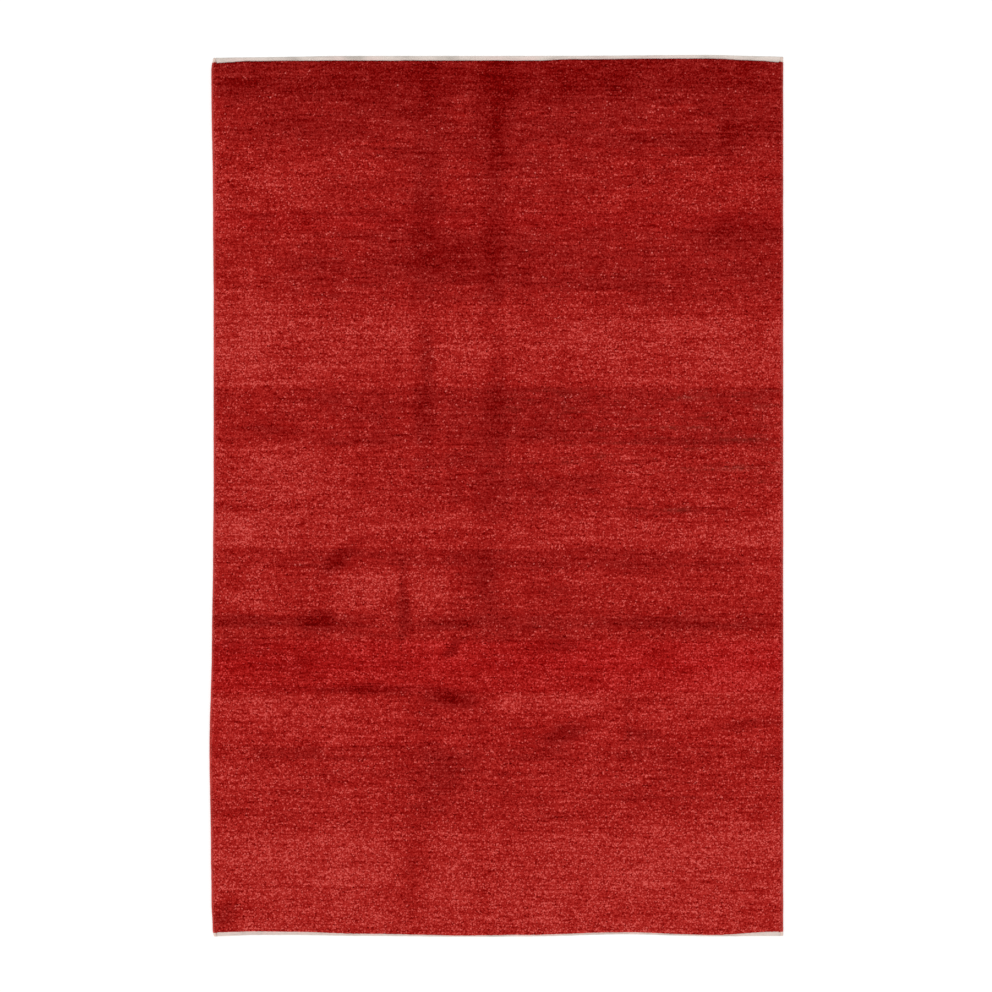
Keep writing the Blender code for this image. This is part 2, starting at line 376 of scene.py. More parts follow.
# Single rows and short runs of rows in a darker or lighter wool, which stop part of the way across
PART_ROWS = (
    NapMark(-0.81, 0.56, 0.06, 0.012, 0, -0.12),
    NapMark(-0.04, 1.00, 0.26, 0.008, 0, 0.09),
    NapMark(0.71, 1.03, 0.26, 0.008, -3, 0.09),
    NapMark(-0.85, 1.28, 0.14, 0.012, 0, -0.10),
    NapMark(0.71, 1.33, 0.26, 0.012, 0, -0.12),
    NapMark(0.19, 1.48, 0.19, 0.016, 0, -0.10),
    NapMark(0.69, 1.57, 0.28, 0.010, 0, -0.10),
    NapMark(-0.80, 1.89, 0.10, 0.009, 0, 0.10),
    NapMark(0.71, 1.96, 0.27, 0.020, 0, -0.13),
    NapMark(-0.75, 1.95, 0.25, 0.020, 0, -0.14),
    NapMark(0.20, 0.38, 0.30, 0.006, 0, -0.08),
    NapMark(-0.62, 0.55, 0.26, 0.007, 0, -0.10),
    NapMark(0.40, 0.80, 0.24, 0.006, 0, -0.08),
    NapMark(-0.66, 1.30, 0.22, 0.007, 0, -0.09),
    NapMark(0.10, 1.31, 0.30, 0.007, 0, -0.09),
    NapMark(-0.40, 1.44, 0.14, 0.006, 0, -0.10),
    NapMark(0.40, 1.40, 0.26, 0.006, 0, -0.09),
    NapMark(-0.30, 1.62, 0.30, 0.006, 0, 0.09),
    NapMark(0.55, 1.66, 0.34, 0.006, 0, 0.10),
    NapMark(0.30, 1.80, 0.36, 0.007, 0, 0.08),
    NapMark(-0.60, 2.38, 0.28, 0.007, 0, -0.09),
    NapMark(0.10, 2.47, 0.22, 0.006, 0, -0.08),
    NapMark(-0.50, 2.095, 0.45, 0.020, 0, -0.05),
    NapMark(-0.50, 2.180, 0.46, 0.012, 0, -0.07),
    NapMark(0.49, 2.55, 0.44, 0.009, 0, -0.09),
    NapMark(-0.73, 2.61, 0.24, 0.020, 0, -0.06),
    NapMark(0.23, 2.62, 0.10, 0.016, 0, -0.09),
)
ALL_MARKS = FOLD_MARKS + BROAD_MARKS + PRESSED_MARKS + PART_ROWS

# Rows knotted with a little undyed brown wool among the red: middle, half length and half height
BrownStray = namedtuple("BrownStray", "across down half_length half_height strength")
BROWN_STRAYS = (
    BrownStray(across=0.660, down=1.178, half_length=0.060, half_height=0.006, strength=0.75),
    BrownStray(across=0.260, down=1.215, half_length=0.040, half_height=0.007, strength=0.45),
    BrownStray(across=0.610, down=1.280, half_length=0.120, half_height=0.006, strength=0.60),
    BrownStray(across=0.860, down=1.322, half_length=0.090, half_height=0.006, strength=0.55),
    BrownStray(across=0.830, down=1.420, half_length=0.090, half_height=0.010, strength=0.55),
    BrownStray(across=0.900, down=1.465, half_length=0.080, half_height=0.006, strength=0.40),
    BrownStray(across=0.620, down=1.563, half_length=0.060, half_height=0.008, strength=0.55),
    BrownStray(across=0.470, down=1.558, half_length=0.040, half_height=0.006, strength=0.35),
)
# Where fine wisps of brown are mingled with the red: to the right of a line, between two others, each
# with the length over which it comes in, and how thick and strong the wisps are
Mingled = namedtuple("Mingled", "across across_soft start start_soft end end_soft threshold strength")
MINGLED = Mingled(across=-0.20, across_soft=0.35, start=1.13, start_soft=0.03, end=1.50, end_soft=0.10,
                  threshold=0.35, strength=0.45)

# Slow unevenness: how strong it is, how long its lumps are across and along the rug, and its own seed
Unevenness = namedtuple("Unevenness", "strength across along seed")
MARK_WANDER_ACROSS = (Unevenness(0.007, 0.060, 0.050, 21), Unevenness(0.003, 0.018, 0.030, 22))
MARK_WANDER_DOWN = (Unevenness(0.004, 0.060, 0.040, 23), Unevenness(0.002, 0.020, 0.020, 24))
LOT_WANDER = (Unevenness(0.0040, 0.30, 0.50, 31), Unevenness(0.0016, 0.04, 0.40, 32))
TONE_UNEVENNESS = (
    Unevenness(0.032, 0.260, 0.060, 33),
    Unevenness(0.042, 0.150, 0.018, 34),
    Unevenness(0.034, 0.080, 0.060, 35),
    Unevenness(0.012, 0.030, 0.016, 37),
    Unevenness(0.018, 0.022, 0.400, 38),
)
CLUMPS = (Unevenness(1.0, 0.017, 0.013, 41), Unevenness(0.7, 0.009, 0.008, 42))
CORD_UNEVENNESS = (Unevenness(0.05, 0.05, 1.0, 71), Unevenness(0.04, 0.009, 1.0, 72))

# Single rows that stand out: how long and thick they are, from what strength they show, and how much
# lighter or darker they are
ROW_LENGTH = 0.11
ROW_THICKNESS = 0.0065
ROW_THRESHOLD = 0.45
LIGHTER_ROWS = 0.14
DARKER_ROWS = 0.20

# How steeply a nap mark falls off past its edge
MARK_STEEPNESS = 1.3

# Points along each side of the chart that soft noise is drawn from
LATTICE = 257


def length_setting(name, description, default, low, high):
    return FloatProperty(name=name, description=description, default=default, min=low, max=high,
                         subtype="DISTANCE", unit="LENGTH")


def colour_setting(name, description, default):
    return FloatVectorProperty(name=name, description=description, default=default, size=3, min=0.0,
                               max=1.0, subtype="COLOR")


class RugPileSettings(PropertyGroup):
    knot_spacing: length_setting(
        "Knot spacing", "Distance from one modelled knot to the next", 0.0046, 0.003, 0.03)
    tuft_unevenness: length_setting(
        "Tuft unevenness", "How much neighbouring tufts differ in height", 0.00042, 0.0, 0.002)
    clump_height: length_setting(
        "Clump height", "How far tufts that lean together rise and fall", 0.00045, 0.0, 0.002)
    strips: IntProperty(
        name="Strips", description="How many strips the pile is made in, side by side",
        default=4, min=1, max=12)
    tuft_size: length_setting(
        "Tuft size", "Thickness of a cut tuft as its colour shows it", 0.0042, 0.001, 0.02)
    # The deepest red stands for the wool between the tufts: partly the darkest dye, partly painted shade in
    # the gaps
    deepest_red: colour_setting("Deepest red", "The wool between the tufts", (0.103, 0.0002, 0.0002))
    dark_red: colour_setting("Dark red", "The darker dye lots", (0.184, 0.0010, 0.0008))
    madder_red: colour_setting("Madder red", "The wool of most of the rug", (0.309, 0.0110, 0.0084))
    light_red: colour_setting("Light red", "The lighter dye lots", (0.450, 0.0365, 0.0275))
    palest_red: colour_setting(
        "Palest red", "Single tufts that have faded to pink", (0.650, 0.1240, 0.1010))
    brown_wool: colour_setting("Brown wool", "Strays of undyed dark wool", (0.120, 0.0200, 0.0130))


class RugRimSettings(PropertyGroup):
    tuft_spacing: length_setting(
        "Tuft spacing", "Distance between the tufts along the rim", 0.0034, 0.002, 0.02)
    tuft_width: length_setting("Tuft width", "Thickness of a cut tuft", 0.0030, 0.001, 0.01)
    end_lean: length_setting(
        "Lean at the ends", "How far the last tufts lean out over the flat weave", 0.0008, 0.0, 0.01)
    side_lean: length_setting(
        "Lean at the sides", "How far the last tufts lean out over the side cords", 0.0046, 0.0, 0.01)


class RugWeaveSettings(PropertyGroup):
    rib_pitch: length_setting("Rib pitch", "Distance from one weft rib to the next", 0.0026, 0.001, 0.01)
    rib_height: length_setting("Rib height", "How far a weft rib stands up", 0.0007, 0.0, 0.002)
    columns: IntProperty(
        name="Columns", description="How many lines run along the ground weave",
        default=280, min=20, max=600)
    undyed_wool: colour_setting(
        "Undyed wool", "The pale wool of the flat-woven ends", (0.680, 0.600, 0.545))
    shaded_wool: colour_setting(
        "Shaded wool", "The greyer, handled places of the flat-woven ends", (0.490, 0.440, 0.395))
    dye_bleed: colour_setting(
        "Dye bleed", "The pink that the dyed wool has left beside the pile", (0.790, 0.600, 0.560))


class RugCordSettings(PropertyGroup):
    turn_pitch: length_setting(
        "Turn pitch", "Distance from one overcast turn of yarn to the next", 0.0042, 0.002, 0.02)
    turn_relief: length_setting(
        "Turn relief", "How deep the grooves between the turns are", 0.0007, 0.0, 0.003)
    yarn_red: colour_setting("Yarn red", "The orange red of the overcast yarn", (0.415, 0.032, 0.024))
    end_yarn: colour_setting(
        "End yarn", "The pale yarn of the cords' last turns, beside the flat weave",
        (0.640, 0.500, 0.440))


class RugStageSettings(PropertyGroup):
    floor_colour: colour_setting("Floor", "The pale floor under the rug", (0.87, 0.87, 0.87))
    sun_strength: FloatProperty(
        name="Key light", description="Strength of the broad key light",
        default=1.9, min=0.0, max=20.0)
    sun_height: FloatProperty(
        name="Key height", description="How high the key light stands over the floor",
        default=math.radians(64.0), min=0.1, max=1.57, subtype="ANGLE", unit="ROTATION")
    sky_strength: FloatProperty(
        name="Fill light", description="Strength of the even light from all round",
        default=0.66, min=0.0, max=10.0)
    lens: FloatProperty(
        name="Lens", description="Focal length in millimetres on a 36 mm sensor",
        default=85.0, min=20.0, max=300.0)


def eased(share):
    """0 to 1 with a level start and end."""
    share = np.clip(share, 0.0, 1.0)
    return share * share * (3.0 - 2.0 * share)


def mixed(a, b, share):
    return a * (1.0 - share) + b * share


def soft_noise(x, y, across, along, seed):
    """Noise from -1 to 1 whose lumps are about this long across and along the rug."""
    table = np.random.default_rng(seed).uniform(-1.0, 1.0, (LATTICE, LATTICE))
    place_x, place_y = x / across + 1000.0, y / along + 1000.0
    i, j = np.floor(place_x).astype(int), np.floor(place_y).astype(int)
    share_x, share_y = eased(place_x - i), eased(place_y - j)
    i, j, after_i, after_j = i % LATTICE, j % LATTICE, (i + 1) % LATTICE, (j + 1) % LATTICE
    low = mixed(table[i, j], table[after_i, j], share_x)
    high = mixed(table[i, after_j], table[after_i, after_j], share_x)
    return mixed(low, high, share_y)


def unevenness(x, y, layers):
    return sum(layer.strength * soft_noise(x, y, layer.across, layer.along, layer.seed) for layer in layers)


# Where the frame's solids have their edges


def feel_side(node, height, side, count=301):
    """Where one long side of a solid stands at one height, as y and x, felt by rays from outside."""
    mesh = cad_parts[node].data
    tree = BVHTree.FromPolygons([v.co for v in mesh.vertices], [p.vertices for p in mesh.polygons])
    low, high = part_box(node)
    start, heading = (low.x - 1.0, 1.0) if side == "left" else (high.x + 1.0, -1.0)
    places, found = [], []
    for y in np.linspace(low.y, high.y, count):
        hit = tree.ray_cast(Vector((start, y, height)), Vector((heading, 0.0, 0.0)))[0]
        if hit is not None:
            places.append(y)
            found.append(hit.x)
    return np.array(places), np.array(found)


def outline_of(node):
    """The four edges of a flat solid's foot, each from one corner to the next.

    left and right give x against y, bottom and top give y against x.
    """
    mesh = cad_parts[node].data
    floor = min(v.co.z for v in mesh.vertices) + 1e-5
    steep = {i for p in mesh.polygons if abs(p.normal.z) < 0.9 for i in p.vertices}
    low = [v.co for v in mesh.vertices if v.index in steep and v.co.z < floor]
    foot = {(round(place.x, 6), round(place.y, 6)) for place in low}
    ring = np.array(sorted(foot, key=lambda p: math.atan2(p[1], p[0])))
    reach = np.abs(ring).max(0)
    corners = [np.argmax((ring / reach) @ way) for way in FOUR_CORNERS]
    ring = np.roll(ring, -corners[0], axis=0)
    stops = [(c - corners[0]) % len(ring) for c in corners] + [len(ring)]
    ring = np.vstack([ring, ring[:1]])
    bottom, right, top, left = (ring[a:b + 1] for a, b in zip(stops, stops[1:]))
    return {
        "bottom": (bottom[:, 0], bottom[:, 1]),
        "right": (right[:, 1], right[:, 0]),
        "top": (top[::-1, 0], top[::-1, 1]),
        "left": (left[::-1, 1], left[::-1, 0]),
    }


def pile_outline():
    """The pile's edges, its top one drawn in a little to where the last knots are packed."""
    edges = outline_of("pile")
    across, along = edges["top"]
    edges["top"] = (across, along - TOP_EDGE_IN)
    return edges


def edge_at(edges, name, place):
    return np.interp(place, *edges[name])


def place_in(edges, u, v, inset_x, inset_y):
    """The points at shares u across and v along an outline, kept off its edges by the insets."""
    middle = mixed(edges["bottom"][0][0], edges["bottom"][0][-1], u)
    for _ in range(2):
        low, high = edge_at(edges, "bottom", middle), edge_at(edges, "top", middle)
        y = mixed(low + inset_y, high - inset_y, v)
        middle = mixed(edge_at(edges, "left", y) + inset_x, edge_at(edges, "right", y) - inset_x, u)
    return middle, y


def surface_reader(node, columns=60, rows=90):
    """A function that gives the height of a solid's top at any place over it."""
    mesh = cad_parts[node].data
    tree = BVHTree.FromPolygons([v.co for v in mesh.vertices], [p.vertices for p in mesh.polygons])
    low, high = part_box(node)
    edge = 0.03
    xs = np.linspace(low.x + edge, high.x - edge, columns)
    ys = np.linspace(low.y + edge, high.y - edge, rows)
    down = Vector((0.0, 0.0, -1.0))
    heights = np.array([[tree.ray_cast(Vector((x, y, 1.0)), down)[0].z for y in ys] for x in xs])

    def read(x, y):
        place_x = np.clip((x - xs[0]) / (xs[1] - xs[0]), 0.0, columns - 1.001)
        place_y = np.clip((y - ys[0]) / (ys[1] - ys[0]), 0.0, rows - 1.001)
        i, j = place_x.astype(int), place_y.astype(int)
        share_x, share_y = place_x - i, place_y - j
        near = mixed(heights[i, j], heights[i + 1, j], share_x)
        far = mixed(heights[i, j + 1], heights[i + 1, j + 1], share_x)
        return mixed(near, far, share_y)

    return read


# How light the wool is at each place


def mark_at(x, down, mark):
    """1 in the middle of a nap mark, falling softly to 0 past its edge."""
    turn = math.radians(mark.turn)
    dx, dy = x - mark.across, mark.down - down
    along = (dx * math.cos(turn) + dy * math.sin(turn)) / mark.half_length
    beside = (dy * math.cos(turn) - dx * math.sin(turn)) / mark.half_width
    return np.exp(-((along * along + beside * beside) ** MARK_STEEPNESS))


def nap_at(x, y):
    """How much lighter or darker the wool looks: the nap's light and shade painted in, and the part rows of
    darker or lighter wool.
    """
    down = CAD_HIGH.y - y
    x = x + unevenness(x, y, MARK_WANDER_ACROSS)
    down = down + unevenness(x, y, MARK_WANDER_DOWN)
    return sum(mark.tone * mark_at(x, down, mark) for mark in ALL_MARKS)


def by_lot(x, down, column):
    """One column of the dye lots at each place, easing over from lot to lot."""
    found = np.full(np.shape(x), getattr(DYE_LOTS[0], column))
    for before, lot in zip(DYE_LOTS, DYE_LOTS[1:]):
        change = getattr(lot, column) - getattr(before, column)
        found += change * eased((down - lot.starts) / lot.soft + 0.5)
    return found


def tone_at(x, y):
    """How light the wool is, from 0 to 1, by dye lot, the nap's painted light and shade, and slow
    unevenness.
    """
    tone = by_lot(x, CAD_HIGH.y - y + unevenness(x, y, LOT_WANDER), "tone")
    rows = soft_noise(x, y, ROW_LENGTH, ROW_THICKNESS, 39)
    tone += LIGHTER_ROWS * (rows - ROW_THRESHOLD).clip(0.0, 1.0)
    tone -= DARKER_ROWS * (-rows - ROW_THRESHOLD).clip(0.0, 1.0)
    return tone + unevenness(x, y, TONE_UNEVENNESS) + nap_at(x, y)


def crimson_at(x, y):
    """How much more crimson the wool of a dye lot is than the rest."""
    return by_lot(x, CAD_HIGH.y - y, "crimson")


def brown_at(x, y):
    """How much of the wool is undyed brown at each place."""
    down = CAD_HIGH.y - y
    found = np.zeros(np.shape(x))
    for stray in BROWN_STRAYS:
        along = (x - stray.across) / stray.half_length
        beside = (down - stray.down) / stray.half_height
        found += stray.strength * np.exp(-(along ** 2 + beside ** 2))
    broken = 0.5 + 0.5 * soft_noise(x, y, 0.012, 0.005, 36)
    mingled = eased((x - MINGLED.across) / MINGLED.across_soft)
    mingled *= eased((down - MINGLED.start) / MINGLED.start_soft)
    mingled *= eased((MINGLED.end - down) / MINGLED.end_soft)
    wisps = (soft_noise(x, y, 0.060, 0.0060, 40) - MINGLED.threshold).clip(0.0, 1.0)
    return (found * broken + MINGLED.strength * mingled * wisps).clip(0.0, BROWN_MOST)


# Shader nodes


class Wiring:
    """One material, with short ways to lay out its nodes."""

    def __init__(self, name, view_colour):
        self.material = bpy.data.materials.new(name)
        self.material.use_nodes = True
        self.material.diffuse_color = (*view_colour, 1.0)
        self.tree = self.material.node_tree
        self.shader = self.tree.nodes["Principled BSDF"]

    def add(self, kind, **settings):
        node = self.tree.nodes.new(kind)
        for name, value in settings.items():
            setattr(node, name, value)
        return node

    def put(self, value, socket):
        """Joins a socket, or sets a plain value."""
        if isinstance(value, bpy.types.NodeSocket):
            self.tree.links.new(value, socket)
        else:
            socket.default_value = value

    def place(self):
        return self.add("ShaderNodeTexCoord").outputs["Object"]

    def stretched(self, vector, scale):
        node = self.add("ShaderNodeMapping")
        self.put(vector, node.inputs["Vector"])
        node.inputs["Scale"].default_value = scale
        return node.outputs["Vector"]

    def noise(self, vector, scale, detail=2.0, roughness=0.5, wander=0.0):
        """Noise from 0 to 1, with so many lumps to the metre along each axis."""
        node = self.add("ShaderNodeTexNoise")
        self.put(self.stretched(vector, scale), node.inputs["Vector"])
        node.inputs["Scale"].default_value = 1.0
        node.inputs["Detail"].default_value = detail
        node.inputs["Roughness"].default_value = roughness
        node.inputs["Distortion"].default_value = wander
        return node.outputs["Fac"]

    def sum(self, a, b, times=1.0):
        """a plus times b."""
        node = self.add("ShaderNodeMath", operation="MULTIPLY_ADD")
        self.put(b, node.inputs[0])
        self.put(times, node.inputs[1])
        self.put(a, node.inputs[2])
        return node.outputs["Value"]

    def math(self, operation, a, b=0.0):
        node = self.add("ShaderNodeMath", operation=operation)
        self.put(a, node.inputs[0])
        self.put(b, node.inputs[1])
        return node.outputs["Value"]

    def off_middle(self, value):
        """How far a value from 0 to 1 stands from one half."""
        return self.math("SUBTRACT", value, 0.5)

    def remap(self, value, low, high, to_low=0.0, to_high=1.0):
        node = self.add("ShaderNodeMapRange", interpolation_type="SMOOTHSTEP")
        self.put(value, node.inputs["Value"])
        node.inputs["From Min"].default_value = low
        node.inputs["From Max"].default_value = high
        node.inputs["To Min"].default_value = to_low
        node.inputs["To Max"].default_value = to_high
        return node.outputs["Result"]

    def frayed(self, vector, fineness, reach):
        """The place, nudged to and fro by so much, which gives soft borders to what is laid on it."""
        noise = self.add("ShaderNodeTexNoise")
        self.put(vector, noise.inputs["Vector"])
        noise.inputs["Scale"].default_value = fineness
        noise.inputs["Detail"].default_value = 1.0
        centred = self.add("ShaderNodeVectorMath", operation="SUBTRACT")
        self.put(noise.outputs["Color"], centred.inputs[0])
        centred.inputs[1].default_value = (0.5, 0.5, 0.5)
        nudged = self.add("ShaderNodeVectorMath", operation="MULTIPLY_ADD")
        self.put(centred.outputs["Vector"], nudged.inputs[0])
        nudged.inputs[1].default_value = (reach, reach, reach)
        self.put(vector, nudged.inputs[2])
        return nudged.outputs["Vector"]

    def attribute(self, name):
        return self.add("ShaderNodeAttribute", attribute_name=name).outputs["Fac"]

    def ramp(self, value, stops):
        node = self.add("ShaderNodeValToRGB")
        self.put(value, node.inputs["Fac"])
        elements = node.color_ramp.elements
        while len(elements) < len(stops):
            elements.new(1.0)
        for element, (place, colour) in zip(elements, stops):
            element.position = place
            element.color = (*colour, 1.0)
        return node.outputs["Color"]

    def mix(self, share, a, b, blend="MIX"):
        node = self.add("ShaderNodeMix", data_type="RGBA", blend_type=blend)
        self.put(share, node.inputs["Factor"])
        for value, socket in ((a, node.inputs[6]), (b, node.inputs[7])):
            self.put((*value, 1.0) if isinstance(value, tuple) else value, socket)
        return node.outputs[2]

    def tinted(self, colour, tint):
        return self.mix(1.0, colour, tint, "MULTIPLY")

    def bump(self, height, distance):
        node = self.add("ShaderNodeBump")
        node.inputs["Strength"].default_value = 1.0
        node.inputs["Distance"].default_value = distance
        self.put(height, node.inputs["Height"])
        self.put(node.outputs["Normal"], self.shader.inputs["Normal"])

    def wool(self, sheen, sheen_tint, specular=0.18):
        """The plain settings of soft, matt wool."""
        inputs = self.shader.inputs
        inputs["Metallic"].default_value = 0.0
        inputs["Specular IOR Level"].default_value = specular
        inputs["Sheen Weight"].default_value = sheen
        inputs["Sheen Roughness"].default_value = 0.45
        inputs["Sheen Tint"].default_value = (*sheen_tint, 1.0)


def pile_wool(settings):
    """Dyed wool seen end on: one cell a tuft, with painted shade in the gaps between them, streaks along
    the rows, light and dark flecks.
    """
    w = Wiring("dyed pile wool", tuple(settings.madder_red))
    place = w.place()
    tuft = w.add("ShaderNodeTexVoronoi", voronoi_dimensions="2D", feature="F1")
    w.put(w.frayed(place, 1000.0, 0.0032), tuft.inputs["Vector"])
    tuft.inputs["Scale"].default_value = 1.0 / settings.tuft_size
    tuft.inputs["Randomness"].default_value = 0.85
    seat = tuft.outputs["Position"]
    own = w.add("ShaderNodeSeparateColor")
    w.put(tuft.outputs["Color"], own.inputs["Color"])
    grain = w.noise(seat, (225.0, 240.0, 225.0), detail=0.5)
    dashes = w.noise(seat, (60.0, 250.0, 60.0), detail=0.0)
    rows = w.noise(seat, (16.0, 230.0, 16.0), detail=1.0)
    streaks = w.noise(place, (5.0, 110.0, 5.0), detail=1.5)
    clouds = w.noise(place, (13.0, 24.0, 13.0), detail=2.0)
    patches = w.noise(place, (12.0, 60.0, 12.0), detail=1.0)
    flecks = w.noise(seat, (200.0, 215.0, 200.0), detail=0.0, wander=0.6)
    fibres = w.noise(place, (1100.0, 1100.0, 700.0), detail=1.0)

    lots = w.attribute("tone")
    lively = w.remap(w.sum(lots, w.off_middle(clouds), 0.5), 0.30, 0.62, 0.70, 1.0)
    fine = w.math("MULTIPLY", w.off_middle(grain), 1.12)
    for layer, amount in ((dashes, 0.45), (own.outputs["Red"], 0.20), (fibres, 0.26)):
        fine = w.sum(fine, w.off_middle(layer), amount)
    faded = w.remap(patches, 0.34, 0.68, 0.18, 0.38)
    fine = w.sum(fine, w.remap(flecks, 0.60, 0.74), faded)
    fine = w.sum(fine, w.remap(own.outputs["Green"], 0.88, 0.96), faded)
    # Painted shade: darker towards the edge of each tuft's cell, in the gaps between tufts
    fine = w.sum(fine, w.remap(tuft.outputs["Distance"], 0.34, 0.72), -0.20)
    tone = w.sum(lots, fine, lively)
    for layer, amount in ((clouds, 0.06), (streaks, 0.42), (rows, 0.46)):
        tone = w.sum(tone, w.off_middle(layer), amount)
    tone = w.sum(tone, w.remap(rows, 0.38, 0.24), -0.12)
    wools = (settings.deepest_red, settings.dark_red, settings.madder_red, settings.light_red,
             settings.palest_red)
    reds = w.ramp(tone, tuple(zip((0.0, 0.20, 0.50, 0.76, 1.0), map(tuple, wools))))
    duller, scarlet = w.tinted(reds, (1.0, 1.40, 1.55)), w.tinted(reds, (1.0, 0.74, 0.78))
    reds = w.mix(w.remap(lots, 0.28, 0.56), duller, scarlet)
    reds = w.mix(w.attribute("crimson"), reds, w.tinted(reds, (1.0, 0.62, 0.70)))
    w.put(w.mix(w.attribute("brown"), reds, tuple(settings.brown_wool)), w.shader.inputs["Base Color"])
    w.put(w.remap(grain, 0.3, 0.7, 0.88, 0.98), w.shader.inputs["Roughness"])
    dome = w.math("SUBTRACT", 1.0, tuft.outputs["Distance"])
    w.bump(w.sum(w.sum(w.math("MULTIPLY", dome, 0.9), grain, 0.7), fibres, 0.35), 0.0016)
    w.wool(sheen=0.10, sheen_tint=(1.0, 0.12, 0.10), specular=0.0)
    return w.material


def ground_wool(settings):
    """Undyed wefts packed over the warps, beaded where they cross, a little soiled and dye-stained."""
    undyed = tuple(settings.undyed_wool)
    w = Wiring("undyed flat weave", undyed)
    place = w.place()
    handled = w.noise(place, (9.0, 30.0, 9.0), detail=4.0, roughness=0.6)
    threads = w.noise(place, (90.0, 700.0, 90.0), detail=2.0)
    colour = w.mix(w.remap(handled, 0.42, 0.66), undyed, tuple(settings.shaded_wool))
    colour = w.mix(w.remap(threads, 0.56, 0.74, 0.0, 0.55), colour, tuple(settings.shaded_wool))
    colour = w.mix(w.attribute("bleed"), colour, tuple(settings.dye_bleed))
    w.put(colour, w.shader.inputs["Base Color"])
    w.put(w.remap(handled, 0.3, 0.7, 0.88, 0.97), w.shader.inputs["Roughness"])
    across = w.add("ShaderNodeSeparateXYZ")
    w.put(place, across.inputs[0])
    warp = w.math("SINE", w.math("MULTIPLY", across.outputs["X"], 2.0 * math.pi / WARP_PITCH))
    weft = w.math("SINE", w.math("MULTIPLY", across.outputs["Y"], math.pi / settings.rib_pitch))
    beads = w.math("MULTIPLY", warp, weft)
    w.bump(w.sum(w.math("MULTIPLY", beads, 0.40), threads, 0.7), 0.0011)
    w.wool(sheen=0.12, sheen_tint=(1.0, 0.96, 0.9))
    return w.material


def knotted_back(pile_settings, weave_settings):
    """The underside, where each knot shows as a bead of its wool between thin pale wefts, with painted
    shade in the grooves between the columns of knots.
    """
    red, dark = tuple(pile_settings.madder_red), tuple(pile_settings.dark_red)
    w = Wiring("knotted back", red)
    place = w.place()
    split = w.add("ShaderNodeSeparateXYZ")
    w.put(place, split.inputs[0])
    bands = w.noise(place, (0.6, 9.0, 1.0), detail=4.0, roughness=0.6)
    grain = w.noise(place, (160.0, 240.0, 160.0), detail=2.0)
    tone = w.sum(w.math("MULTIPLY", bands, 0.9), w.off_middle(grain), 0.7)
    reds = w.ramp(tone, ((0.1, dark), (0.5, red), (0.95, tuple(pile_settings.light_red))))
    row = w.math("SINE", w.math("MULTIPLY", split.outputs["Y"], 2.0 * math.pi / BACK_ROW_PITCH))
    column = w.math("SINE", w.math("MULTIPLY", split.outputs["X"], 2.0 * math.pi / BACK_COLUMN_PITCH))
    weft = w.remap(w.sum(row, w.off_middle(grain), 0.8), -0.74, -1.0, 0.0, 0.42)
    # Painted shade: darker in the grooves between the columns of knots, where the bump sinks
    reds = w.mix(w.remap(column, -0.45, -0.95, 0.0, 0.55), reds, dark)
    w.put(w.mix(weft, reds, tuple(weave_settings.shaded_wool)), w.shader.inputs["Base Color"])
    w.shader.inputs["Roughness"].default_value = 0.93
    w.bump(w.sum(w.sum(grain, row, 0.6), column, 0.5), 0.0010)
    w.wool(sheen=0.08, sheen_tint=(1.0, 0.7, 0.65))
    return w.material


def overcast_yarn(settings):
    """Orange-red plied yarn, with painted light on the crown of each turn and painted shade in its grooves.
    """
    red = tuple(settings.yarn_red)
    w = Wiring("overcast side yarn", red)
    place = w.place()
    lots = w.noise(place, (2.0, 7.0, 2.0), detail=3.0)
    plies = w.noise(place, (500.0, 900.0, 500.0), detail=2.0)
    tone = w.sum(w.attribute("tone"), w.off_middle(lots), 0.8)
    tone = w.sum(tone, w.off_middle(plies), 0.5)
    dark = tuple(0.42 * c for c in red)
    light = tuple(min(1.0, 1.35 * c + 0.03) for c in red)
    reds = w.ramp(tone, ((0.1, dark), (0.5, red), (0.9, light)))
    w.put(w.mix(w.attribute("undyed"), reds, tuple(settings.end_yarn)), w.shader.inputs["Base Color"])
    w.put(w.remap(plies, 0.3, 0.7, 0.82, 0.95), w.shader.inputs["Roughness"])
    w.bump(plies, 0.0006)
    w.wool(sheen=0.15, sheen_tint=(1.0, 0.7, 0.6))
    return w.material


# Meshes


def add_piece(name, points, quads, material, values=None):
    """A smooth-shaded piece from points and four-sided faces, with one value a point for each name."""
    mesh = bpy.data.meshes.new(name)
    mesh.vertices.add(len(points))
    mesh.vertices.foreach_set("co", np.asarray(points, np.float32).ravel())
    mesh.loops.add(quads.size)
    mesh.loops.foreach_set("vertex_index", quads.astype(np.int32).ravel())
    mesh.polygons.add(len(quads))
    mesh.polygons.foreach_set("loop_start", np.arange(0, quads.size, 4, dtype=np.int32))
    mesh.update(calc_edges=True)
    mesh.validate()
    mesh.shade_smooth()
    for key, numbers in (values or {}).items():
        layer = mesh.attributes.new(key, "FLOAT", "POINT")
        layer.data.foreach_set("value", np.asarray(numbers, np.float32).ravel())
    mesh.materials.append(material)
    made = bpy.data.objects.new(name, mesh)
    bpy.context.scene.collection.objects.link(made)
    return made


def write_map(piece, across, along):
    """The map for baking, from two shares for each corner of each face."""
    layer = piece.data.uv_layers.new(name="OFBake")
    places = np.stack([across.ravel(), along.ravel()], axis=1)
    layer.uv.foreach_set("vector", places.astype(np.float32).ravel())


def folded(across, along, columns, margin=0.004):
    """Shares for a long piece whose map is cut into lengths that lie side by side."""
    column = np.floor(along.mean(axis=1) * columns).clip(0, columns - 1)[:, None]
    beside = (column + 2.0 * margin + (1.0 - 4.0 * margin) * across) / columns
    up = (along * columns - column).clip(0.0, 1.0)
    return beside, margin + (1.0 - 2.0 * margin) * up


def share_of(values):
    return (values - values.min()) / np.ptp(values)


def grid_quads(rows, columns, offset=0):
    """The faces of a grid whose points run along its rows."""
    first = np.arange(rows * columns).reshape(rows, columns) + offset
    corners = first[:-1, :-1], first[1:, :-1], first[1:, 1:], first[:-1, 1:]
    return np.stack([c.ravel() for c in corners], axis=1)


